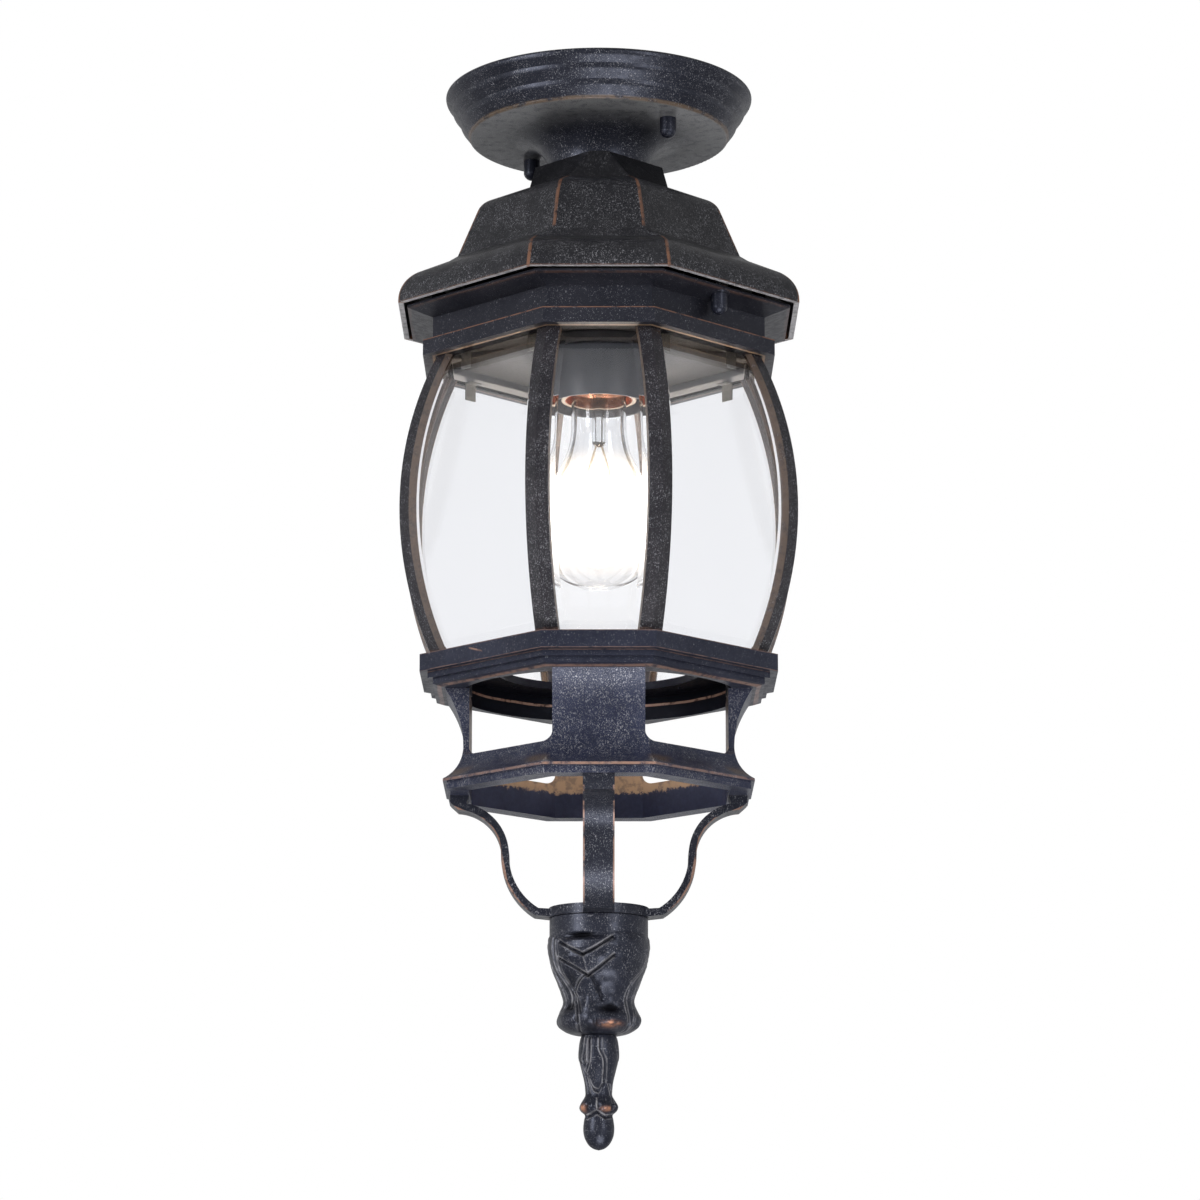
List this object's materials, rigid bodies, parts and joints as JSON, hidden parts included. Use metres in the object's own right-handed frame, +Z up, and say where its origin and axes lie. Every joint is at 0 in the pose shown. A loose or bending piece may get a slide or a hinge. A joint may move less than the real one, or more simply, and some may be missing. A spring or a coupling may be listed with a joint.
{
  "type": "porch ceiling lantern",
  "caption": "Octagonal outdoor ceiling lantern with curved bevelled panes, round canopy, open baskets, leaf cup and finial.",
  "frame": {"origin": "on the lantern's vertical axis at the ceiling, midway between the ceiling bar's two screw slots", "axes": "+Z up into the ceiling, +X to the right and -Y towards the viewer, both through narrow faces of the octagon"},
  "size_m": [0.2032, 0.2032, 0.5447],
  "materials": {
    "dark_coat": "satin",
    "pan_grey": "satin",
    "cup_slate": "satin",
    "zinc_steel": "satin",
    "green_steel": "satin",
    "bright_clip": "polished",
    "copper_shell": "polished",
    "bright_base": "satin",
    "tungsten": "satin",
    "porcelain": "glossy",
    "black_glass": "glossy",
    "clear_glass": "polished",
    "pane_glass": "polished",
    "black_insulation": "matte",
    "white_insulation": "matte",
    "green_insulation": "matte",
    "connector_plastic": "matte"
  },
  "bodies": {
    "fixture": {"ceiling_bar": "zinc_steel", "fixture_bar": "zinc_steel", "swivel_rivet": "zinc_steel", "ground_screw": "green_steel", "canopy": "dark_coat", "canopy_studs": "zinc_steel", "stud_lock_nuts": "zinc_steel", "canopy_cap_nuts": "dark_coat", "threaded_nipple": "zinc_steel", "nipple_nuts": "zinc_steel", "nipple_washers": "zinc_steel", "roof": "dark_coat", "roof_studs": "zinc_steel", "socket_pan": "pan_grey", "pan_screws": "zinc_steel", "socket_screws": "zinc_steel", "socket_cup": "cup_slate", "socket_body": "porcelain", "screw_shell": "copper_shell", "centre_contact": "copper_shell", "line_lead": "black_insulation", "neutral_lead": "white_insulation", "ground_lead": "green_insulation", "wire_connectors": "connector_plastic"},
    "bulb": {"bulb_glass": "clear_glass", "bulb_screw_base": "bright_base", "base_insulator": "black_glass", "base_contact": "bright_base", "glass_stem": "clear_glass", "lead_wires": "zinc_steel", "filament": "tungsten"},
    "cage": {"upper_ring": "dark_coat", "rib_1": "dark_coat", "rib_2": "dark_coat", "rib_3": "dark_coat", "rib_4": "dark_coat", "rib_5": "dark_coat", "rib_6": "dark_coat", "rib_7": "dark_coat", "rib_8": "dark_coat", "pane_front": "pane_glass", "pane_front_right": "pane_glass", "pane_right": "pane_glass", "pane_back_right": "pane_glass", "pane_back": "pane_glass", "pane_back_left": "pane_glass", "pane_left": "pane_glass", "pane_front_left": "pane_glass", "glass_clips": "bright_clip", "lower_ring": "dark_coat", "upper_basket": "dark_coat", "basket_screws": "zinc_steel", "lower_basket": "dark_coat", "arm_pins": "zinc_steel", "tail_rod": "zinc_steel", "tail_nut": "zinc_steel", "leaf_cup": "dark_coat", "finial": "dark_coat"},
    "right_nut": {"roof_cap_nut_right": "dark_coat"},
    "left_nut": {"roof_cap_nut_left": "dark_coat"}
  },
  "joints": [
    {"name": "bulb_unscrew", "type": "slide", "parent": "fixture", "child": "bulb", "axis": [0, 0, -1], "range_m": [0, 0.024]},
    {"name": "cage_drop", "type": "slide", "parent": "fixture", "child": "cage", "axis": [0, 0, -1], "range_m": [0, 0.15]},
    {"name": "right_nut_unscrew", "type": "slide", "parent": "cage", "child": "right_nut", "axis": [0, 0, -1], "range_m": [0, 0.0038]},
    {"name": "left_nut_unscrew", "type": "slide", "parent": "cage", "child": "left_nut", "axis": [0, 0, -1], "range_m": [0, 0.0038]}
  ]
}
